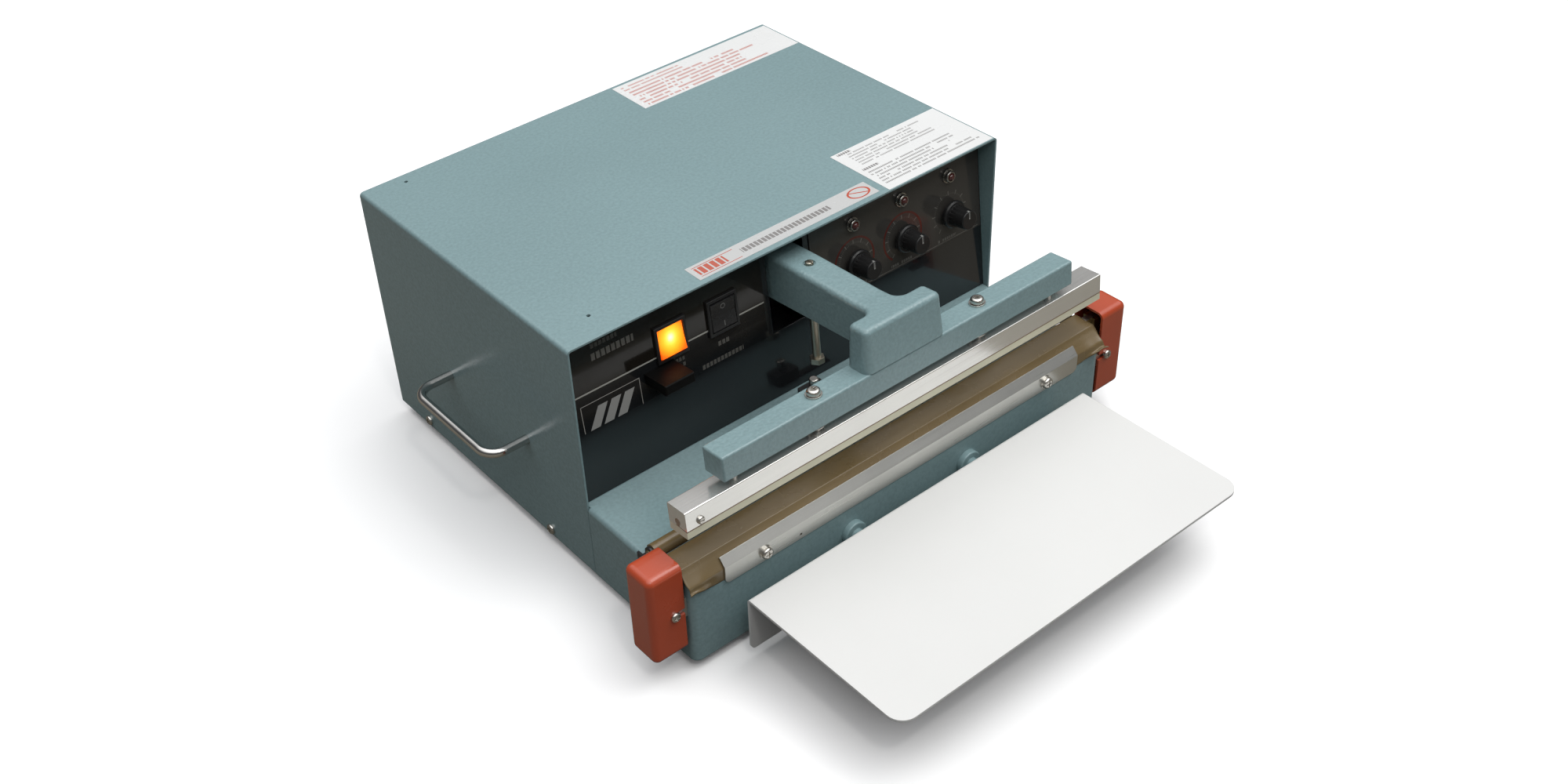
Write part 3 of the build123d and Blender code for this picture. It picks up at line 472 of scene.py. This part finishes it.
def steel(name, color, rough, metallic=1.0, stretch=None):
    m = Mat(name, color, rough, metallic=metallic)
    m.vary(0.08, 60.0)
    m.paint(m.noise(210.0, 4.0, 0.6, lo=0.55, hi=0.8) * 0.25, tuple(c * 0.62 for c in color))
    m.vary_rough(0.08, 160.0)
    m.bump(m.noise(1400.0, 2.0), 0.00001, 0.00025)
    return m


steel("zinc_plated_screws", (0.62, 0.60, 0.56), 0.27).on(
    "case_screws", "clamp_screws", "shelf_screws", "strip_screws", "spring_bolts", "guide_pins", "beam_washers",
    "jaw_springs", "return_spring", "switch_button", "foot_switch_jack", "link_pin", "pivot_shaft",
)
steel("yellowed_zinc_bolt", (0.46, 0.43, 0.36), 0.36).on("stop_bolt")
steel("zinc_plated_sheet", (0.55, 0.56, 0.55), 0.36).on("cap_brackets", "pivot_frame", "solenoid_plunger")
m = steel("polished_chrome", (0.60, 0.59, 0.57), 0.07)
m.paint(m.noise(38.0, 6.0, 0.75, lo=0.62, hi=0.78) * 0.35, (0.45, 0.40, 0.33))
m.on("left_handle", "right_handle")
# the bezels' metal is about half as bright as the chrome: painted shade under the cover
m = steel("bezel_chrome_darkened_painted_shade", (0.32, 0.31, 0.29), 0.26)
m.on("indicator_bezels")
m = steel("turned_brass", (0.62, 0.45, 0.19), 0.28)
m.on("element_terminals")
m = steel("flat_nichrome_ribbon", (0.42, 0.38, 0.34), 0.4)
m.on("heating_element")

m = Mat("woven_glass_insulation", (0.62, 0.57, 0.44), 0.75, sheen=0.2)
m.vary(0.08, 60.0)
m.bump(((m.x * 5200.0).m("SINE") * (m.y * 5200.0).m("SINE")), 0.00003)
m.on("insulation_strip")

# black moulded plastics
m = Mat("black_moulded_plastic", (0.014, 0.014, 0.0145), 0.34, spec=0.4)
m.vary(0.12, 30.0)
m.paint(m.noise(60.0, 5.0, 0.7, lo=0.58, hi=0.82) * 0.10, (0.06, 0.058, 0.052))
m.paint(m.edge(0.0005) * m.noise(120.0, 3.0, lo=0.4, hi=0.7) * 0.15, (0.06, 0.06, 0.06))
m.vary_rough(0.07, 70.0)
m.bump(m.noise(2200.0, 2.0), 0.00002, 0.0004)
m.on("switch_bodies", "potentiometers", "closing_switch", "power_inlet", "fuse_holder", "roll_brackets")

# the guard's colour is made much darker than the other black plastic: painted shade under the cover
m = Mat("shaded_black_guard_moulding", (0.0035, 0.0034, 0.0033), 0.50, spec=0.10)
m.vary(0.1, 40.0)
m.paint(m.noise(150.0, 5.0, 0.7, lo=0.62, hi=0.80) * 0.20, (0.03, 0.028, 0.024))
m.vary_rough(0.09, 80.0)
m.bump(m.noise(900.0, 3.0), 0.00004, 0.0006)
m.on("switch_guard")


def marked_knob(name, node, x0):
    """Black knob with a white pointer line in its top recess and worn flutes."""
    m = Mat(name, (0.012, 0.012, 0.0122), 0.32, spec=0.35)
    m.vary(0.1, 40.0)
    m.paint(m.edge(0.0005) * m.noise(160.0, 3.0, lo=0.4, hi=0.7) * 0.35, (0.07, 0.07, 0.07))
    v = panel_v(m) - (135.5 - 60.0) / 1000.0 / math.cos(K)
    n = (m.z - 0.068) * math.sin(K) - (m.y - 0.0) * math.cos(K)
    line = within(m.x - x0, -0.0007, 0.0007) * within(v, 0.0012, 0.0086) * (n > 0.0200)
    m.paint(line * 0.9, (0.25, 0.25, 0.24))
    m.vary_rough(0.06, 90.0)
    m.bump(m.noise(2400.0, 2.0), 0.00002, 0.0004)
    m.on(node)


marked_knob("sealing_knob_plastic", "sealing_time_knob", 0.0615)
marked_knob("cooling_knob_plastic", "cooling_time_knob", 0.1085)
marked_knob("recycle_knob_plastic", "recycle_time_knob", 0.1555)

m = Mat("black_rocker_plastic", (0.014, 0.014, 0.0145), 0.27, spec=0.4)
m.vary(0.1, 60.0)
v = panel_v(m) - (148.5 - 60.0) / 1000.0 / math.cos(K)
dot = ((m.x + 0.0585) * (m.x + 0.0585) + (v - 0.0066) * (v - 0.0066)).sqrt()
m.paint(within(dot, 0.0015, 0.0020) * 0.5, (0.30, 0.30, 0.29))
m.paint(within(m.x + 0.0585, -0.0003, 0.0003) * within(v, -0.0086, -0.0048) * 0.5, (0.30, 0.30, 0.29))
m.vary_rough(0.06, 90.0)
m.bump(m.noise(2200.0, 2.0), 0.000015, 0.0005)
m.on("action_rocker")

# feet and inner parts
m = Mat("matt_black_rubber", (0.022, 0.022, 0.021), 0.72, sheen=0.1)
m.vary(0.15, 50.0)
m.paint(m.noise(40.0, 6.0, 0.7, lo=0.5, hi=0.8) * 0.3, (0.09, 0.085, 0.08))
m.vary_rough(0.1, 60.0)
m.bump(m.noise(1200.0, 3.0), 0.00008)
m.on("rubber_feet")

m = Mat("laminated_iron", (0.11, 0.11, 0.115), 0.5, metallic=0.6)
m.vary(0.2, 40.0)
lam = (m.x * (1.0 / 0.0007)).fract()
m.paint((lam > 0.7) * 0.5, (0.04, 0.04, 0.04))
m.bump(lam, 0.00006)
m.on("solenoid_frame", "transformer")

m = Mat("taped_winding", (0.36, 0.22, 0.06), 0.35, spec=0.5)
m.vary(0.15, 60.0)
m.bump((m.z * 2600.0).m("SINE"), 0.00005)
m.on("solenoid_coil")

m = Mat("green_circuit_board", (0.012, 0.09, 0.035), 0.3)
m.vary(0.12, 40.0)
trace = m.noise(1.0, 1.0, stretch=(90.0, 900.0, 900.0), lo=0.60, hi=0.62)
m.paint(trace * 0.5, (0.03, 0.22, 0.08))
m.bump(trace, 0.00003)
m.on("timer_board")


# ----------------------------------------------------- printed gloss plate
m = Mat("gloss_printed_plate", (0.011, 0.0092, 0.007), 0.11, spec=0.28, coat=0.18, coat_rough=0.035)
m.vary(0.10, 12.0)
v = panel_v(m)
line_v = 0.0808
m.paint(v < line_v, (0.0095, 0.0105, 0.0115))
# right half: one warm dark field, without the band
m.paint((m.x > 0.022) * 1.0, (0.046, 0.043, 0.039))
silver = (0.34, 0.34, 0.31)
m.paint(within(v, line_v - 0.0006, line_v + 0.0006) * within(m.x, -0.184, -0.0225), silver)
# a thin light rule just above the plate's bottom edge on the right: a painted highlight where that edge catches the
# light
m.paint(within(v, 0.0535, 0.0541) * within(m.x, 0.070, 0.184) * 0.5, (0.20, 0.19, 0.17))


def words(m, u, v, u0, u1, v0, pitch, rows, fill=0.62, letter=0.0016, seed=0.0, keep=0.72):
    """Rows of short strokes between u0 and u1, which stand for print that can't be read."""
    row = ((v0 - v) / pitch).floor()
    inside = within(u, u0, u1) * within(row, -0.5, rows - 0.5)
    band = ((v0 - v) / pitch).fract() < fill
    cell = (u / letter).floor()
    ink = m.white(cell, row + seed) < keep
    gap = m.white((u / (letter * 5.3)).floor(), row * 3.0 + seed + 7.0) > 0.10
    stroke = (u / letter).fract() < 0.74
    end = u < (u0 + (u1 - u0) * 0.99 - m.white(row + seed, 3.0) * (u1 - u0) * 0.34)
    return inside * band * ink * gap * stroke * end


grey_ink = (0.17, 0.165, 0.15)
m.paint(words(m, m.x, v, -0.1650, -0.1240, 0.1072, 0.0062, 1, 0.86, 0.0040, 1.0, 1.1) * 0.75, grey_ink)
m.paint(words(m, m.x, v, -0.1640, -0.1340, 0.1140, 0.0040, 1, 0.80, 0.0032, 2.0, 1.1) * 0.5, grey_ink)
m.paint(words(m, m.x, v, -0.0800, -0.0300, 0.0570, 0.005, 1, 0.70, 0.0032, 4.0, 0.97) * 0.5, grey_ink)
m.paint(words(m, m.x, v, -0.0655, -0.0500, 0.0690, 0.005, 1, 0.70, 0.0034, 6.0, 1.1) * 0.5, grey_ink)
m.paint(words(m, m.x, v, -0.1120, -0.0900, 0.0720, 0.0046, 2, 0.62, 0.0028, 8.0, 0.9) * 0.4, grey_ink)
# plain mark low on the left: a thin frame around three slanted bars
fu, fv = m.x + 0.1550, v - 0.0600
frame_box = within(fu, -0.0240, 0.0240) * within(fv, -0.0130, 0.0130)
frame_in = within(fu, -0.0234, 0.0234) * within(fv, -0.0124, 0.0124)
m.paint(frame_box * (1.0 - frame_in) * 0.9, (0.30, 0.29, 0.27))
lean = fu - fv * 0.55
for a0 in (-0.0150, -0.0040, 0.0070):
    m.paint(within(lean, a0, a0 + 0.0078) * within(fv, -0.0082, 0.0082) * 0.9, (0.30, 0.30, 0.29))

# dial scales: ticks all round, dull red rings on the first two
for i, x0 in enumerate((0.0615, 0.1085, 0.1555)):
    vc = (135.5 - 60.0) / 1000.0 / math.cos(K)
    dx, dv = m.x - x0, v - vc
    r = (dx * dx + dv * dv).sqrt()
    ang = atan2(dx, dv)
    open_arc = ang.abs() < math.radians(142)
    tick = ((ang * (1.0 / math.radians(28.0)) + 0.5).fract() - 0.5).abs() < 0.055
    fine = ((ang * (1.0 / math.radians(5.6)) + 0.5).fract() - 0.5).abs() < 0.14
    m.paint(tick * within(r, 0.0140, 0.0172) * open_arc * 0.7, (0.16, 0.155, 0.14))
    m.paint(fine * within(r, 0.0140, 0.0153) * open_arc * 0.5, (0.14, 0.135, 0.12))
    m.paint(words(m, m.x, v, x0 - 0.013, x0 + 0.013, vc - 0.0190, 0.0036, 1, 0.6, 0.0022, 9.0 + i, 0.9) * 0.6, grey_ink)
    if i < 2:
        m.paint(within(r, 0.0176, 0.0192) * open_arc * 0.8, (0.095, 0.014, 0.010))
    m.paint(words(m, m.x, v, x0 - 0.011, x0 + 0.011, 0.1180, 0.0036, 1, 0.6, 0.0022, 19.0 + i, 0.9) * 0.5, grey_ink)
m.paint(m.noise(16.0, 6.0, 0.72, lo=0.52, hi=0.86) * 0.08, (0.16, 0.145, 0.12))
smear = m.noise(20.0, 5.0, 0.7, lo=0.4, hi=0.75)
m.set_rough(smear * 0.10 + 0.09)
m.bump(m.noise(14.0, 2.0), 0.00022, 0.0004)
m.on("control_plate")

# ------------------------------------------- stickers with unreadable print
m = Mat("printed_white_film", (0.69, 0.695, 0.69), 0.28, spec=0.5)
m.vary(0.015, 20.0)
ink, red = (0.17, 0.16, 0.155), (0.44, 0.085, 0.05)
X, Y = m.x, m.y
# back sticker: text reads from the front, rows run along X
m.paint(words(m, X, Y, 0.038, 0.182, 0.2395, 0.0049, 6, 0.46, 0.00150, 2.0, 0.88) * within(Y, 0.2105, 0.2395) * 0.8, red)
m.paint(words(m, X, Y, 0.038, 0.118, 0.2490, 0.0044, 2, 0.42, 0.00140, 5.0, 0.88) * 0.75, red)
# front right sticker
m.paint(words(m, X, Y, 0.094, 0.180, 0.0530, 0.0034, 6, 0.42, 0.00135, 3.0, 0.88) * within(Y, 0.033, 0.054) * 0.75, ink)
m.paint(words(m, X, Y, 0.089, 0.106, 0.0570, 0.0040, 1, 0.66, 0.00210, 11.0, 0.97) * 0.9, ink)
m.paint(words(m, X, Y, 0.089, 0.104, 0.0300, 0.0040, 1, 0.66, 0.00220, 13.0, 0.97) * 0.9, ink)
m.paint(words(m, X, Y, 0.089, 0.183, 0.0245, 0.0037, 6, 0.44, 0.00145, 8.0, 0.9) * within(Y, -0.001, 0.0248) * 0.8, ink)
# strip on the front edge: red strokes between two rules, a row of strokes and a plain ring
strip = (Y < 0.020) * (X < 0.083)
m.paint(strip * 0.80, (0.44, 0.445, 0.44))
m.paint(words(m, X, Y, -0.0765, -0.0425, 0.0136, 0.0100, 1, 0.86, 0.0049, 31.0, 1.1) * within(Y, 0.0050, 0.0134) * 0.95, red)
m.paint(within(X, -0.077, -0.0425) * within(Y, 0.0144, 0.0150), red)
m.paint(within(X, -0.077, -0.0425) * within(Y, 0.0030, 0.0036), red)
m.paint(words(m, X, Y, -0.0390, 0.0540, 0.0116, 0.0062, 1, 0.86, 0.0034, 37.0, 1.1) * within(Y, 0.0056, 0.0116) * 0.85, ink)
dx, dy = X - 0.0665, Y - 0.0090
rr = (dx * dx * 0.55 + dy * dy * 1.25).sqrt()
m.paint(within(rr, 0.0058, 0.0071), red)
m.paint(within(dx * 0.5 + dy, -0.0006, 0.0006) * (rr < 0.0062), red)
m.paint(m.noise(30.0, 4.0, 0.6, lo=0.5, hi=0.9) * 0.03, (0.50, 0.49, 0.46))
m.vary_rough(0.03, 50.0)
m.bump(m.noise(40.0, 2.0), 0.00004)
m.on("information_labels")

# --------------------------------------------------------------- lit lens
m = Mat("lit_amber_lens", (0.70, 0.16, 0.008), 0.16, coat=0.6)
v = panel_v(m) - (148.5 - 60.0) / 1000.0 / math.cos(K)
d = ((m.x + 0.1030) * (m.x + 0.1030) * 1.25 + (v - 0.0026) * (v - 0.0026)).sqrt()
rib = ((m.x * 900.0).fract() - 0.5).abs()
ramp = m.nt.nodes.new("ShaderNodeValToRGB")
ramp.color_ramp.interpolation = "B_SPLINE"
els = ramp.color_ramp.elements
els[0].position, els[0].color = 0.0, (1.0, 0.93, 0.52, 1)
els[1].position, els[1].color = 1.0, (0.42, 0.030, 0.001, 1)
for pos, col in ((0.14, (1.0, 0.84, 0.26, 1)), (0.27, (1.0, 0.47, 0.03, 1)), (0.58, (0.96, 0.26, 0.008, 1)), (0.82, (0.80, 0.12, 0.003, 1))):
    e = els.new(pos)
    e.color = col
fac = (d / 0.0150 + (rib - 0.25) * 0.06 + (m.noise(500.0, 2.0) - 0.5) * 0.06).clamp()
m.nt.links.new(fac.s, ramp.inputs[0])
m.nt.links.new(ramp.outputs[0], m.b.inputs["Emission Color"])
m.b.inputs["Emission Strength"].default_value = 1.9
m.bump(rib, 0.0001, 0.0006)
m.on("power_rocker")

m = Mat("dark_red_lens", (0.08, 0.013, 0.010), 0.12, coat=0.8, coat_rough=0.03)
m.vary(0.15, 200.0)
m.bump(m.noise(500.0, 2.0), 0.00004, 0.0003)
m.on("indicator_lenses")

# the roll behind the bar
CLOTH = (0.150, 0.105, 0.046)


def cloth_material(name, waves):
    m = Mat(name, CLOTH, 0.25, spec=0.55, sheen=0.05)
    m.vary(0.09, 16.0)
    m.paint(m.noise(22.0, 2.0, 0.5, lo=0.35, hi=0.85) * 0.25, (0.125, 0.086, 0.036))
    m.paint(m.noise(1.0, 2.0, 0.5, stretch=(9.0, 130.0, 130.0), lo=0.50, hi=0.8) * 0.20, (0.20, 0.150, 0.075))
    weave = (m.x * 7600.0).m("SINE") * ((m.y + m.z) * 7600.0).m("SINE")
    m.vary_rough(0.07, 45.0)
    m.bump(weave, 0.000003)
    m.bump(m.noise(1.0, 1.0, stretch=(14.0, 46.0, 46.0)), waves)
    return m


cloth_material("coated_glass_cloth_roll", 0.0003).on("ptfe_roll")
cloth_mat = cloth_material("coated_glass_cloth", 0.0004)

# ------------------------------------------------------------ release cloth
# outer face of the cloth in the working frame, then moved into the part frame
PATH = [(-80.35, 70.7), (-81.7, 72.5), (-83.2, 74.5), (-84.3, 75.95), (-85.0, 76.6), (-85.9, 77.0), (-87.0, 77.12), (-90.5, 77.12), (-96.0, 77.12), (-101.6, 77.12)]
for i in range(1, 7):  # round the front corner of the bar
    a = math.radians(49.6 * i / 6)
    PATH.append((-101.9 - 1.2 * math.sin(a), 75.92 + 1.2 * math.cos(a)))
slope_end = (-110.75, 67.55)
for i in range(1, 12):
    t = i / 11
    a = PATH[15]
    PATH.append((a[0] + (slope_end[0] - a[0]) * t, a[1] + (slope_end[1] - a[1]) * t))
PATH += [(-111.02, 67.15), (-111.2, 66.7), (-111.27, 66.2), (-111.3, 65.4)]
for i in range(1, 9):
    PATH.append((-111.3, 65.4 - 7.9 * i / 8))
lengths = [0.0]
for a, b in zip(PATH, PATH[1:]):
    lengths.append(lengths[-1] + math.hypot(b[0] - a[0], b[1] - a[1]))
TOTAL = lengths[-1]
X0, X1, NX = -191.5, 189.5, 300
rng = random.Random(7)
waves = [(rng.uniform(0.02, 0.16), rng.uniform(0, 6.28), rng.uniform(0.3, 1.0)) for _ in range(9)]


def wave(x):
    return sum(w[2] * math.sin(w[0] * x + w[1]) for w in waves) / 4.0


def normal(i):
    a, b = PATH[max(0, i - 1)], PATH[min(len(PATH) - 1, i + 1)]
    dy, dz = b[0] - a[0], b[1] - a[1]
    n = math.hypot(dy, dz)
    return (dz / n, -dy / n)


def ease(t):
    t = max(0.0, min(1.0, t))
    return t * t * (3 - 2 * t)


verts, faces = [], []
NP = len(PATH)
for i in range(NP):
    s = lengths[i]
    ny, nz = normal(i)
    lower = ease((s - 27.7) / (TOTAL - 27.7))
    slope = ease((s - 27.2) / 4.0) * (1 - ease((s - 34.7) / 3.5))
    for j in range(NX + 1):
        x = X0 + (X1 - X0) * j / NX
        off = slope * (0.16 + 0.14 * wave(x))
        y, z, xx = PATH[i][0], PATH[i][1], x
        # the corners past the clamp stand away from the wall
        r = max(0.0, (x - 165.5) / (X1 - 165.5))
        l = max(0.0, (-165.5 - x) / (-165.5 - X0))
        curl_r = ease(r) * lower
        curl_l = ease(l) * lower
        off += curl_r * (4.2 + 0.6 * math.sin(x * 0.5)) + curl_l * (1.9 + 0.4 * math.sin(x * 0.45 + 1))
        tip = ease((s - TOTAL + 6.5) / 6.5)
        z += curl_r * 5.5 * tip + curl_l * 3.2 * tip
        off += curl_r * tip * 3.6 * r + curl_l * tip * 1.2
        z += (curl_r * 3.2 + curl_l * 2.6) * ease((s - 33.0) / (TOTAL - 33.0))
        if abs(x) < 165.5 and s > 35.7:
            off = min(off, 0.05)
        y += ny * off
        z += nz * off
        # cut edges aren't quite straight
        if j == 0:
            xx += 0.35 * math.sin(s * 0.5)
        if j == NX:
            xx -= 0.9 * lower + 0.5 * math.sin(s * 0.4)
        verts.append((xx / 1000, (y - 4.0) / 1000, (z + 8.0) / 1000))
for i in range(NP - 1):
    for j in range(NX):
        a = i * (NX + 1) + j
        faces.append((a, a + NX + 1, a + NX + 2, a + 1))
me = bpy.data.meshes.new("release_cloth")
me.from_pydata(verts, [], faces)
me.update()
me.polygons.foreach_set("use_smooth", [True] * len(me.polygons))
cloth = bpy.data.objects.new("release_cloth", me)
scene.collection.objects.link(cloth)
solid = cloth.modifiers.new("thickness", "SOLIDIFY")
solid.thickness = 0.00016
solid.offset = -1.0
me.materials.append(cloth_mat.mat)
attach(cloth, "case")
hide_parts("ptfe_cloth")

# ------------------------------------------------------------- stage finish
fm = Mat("pale_floor", (0.80, 0.80, 0.80), 0.85, spec=0.2)
lp = fm.nt.nodes.new("ShaderNodeLightPath")
bounce = fm.mix(V(fm.nt, lp.outputs["Is Glossy Ray"]), (0.10, 0.10, 0.10), (0.17, 0.155, 0.125))
fm.set_color(fm.mix(V(fm.nt, lp.outputs["Is Camera Ray"]), bounce, (0.95, 0.95, 0.95)))
fm.bump(fm.noise(40.0, 3.0), 0.0001)
fm.on(floor)

# list the shown parts that have no smooth-shaded faces
for name, o in NODES.items():
    if o.hide_render:
        continue
    if not any(p.use_smooth for p in o.data.polygons):
        print("flat shaded:", name)

import json
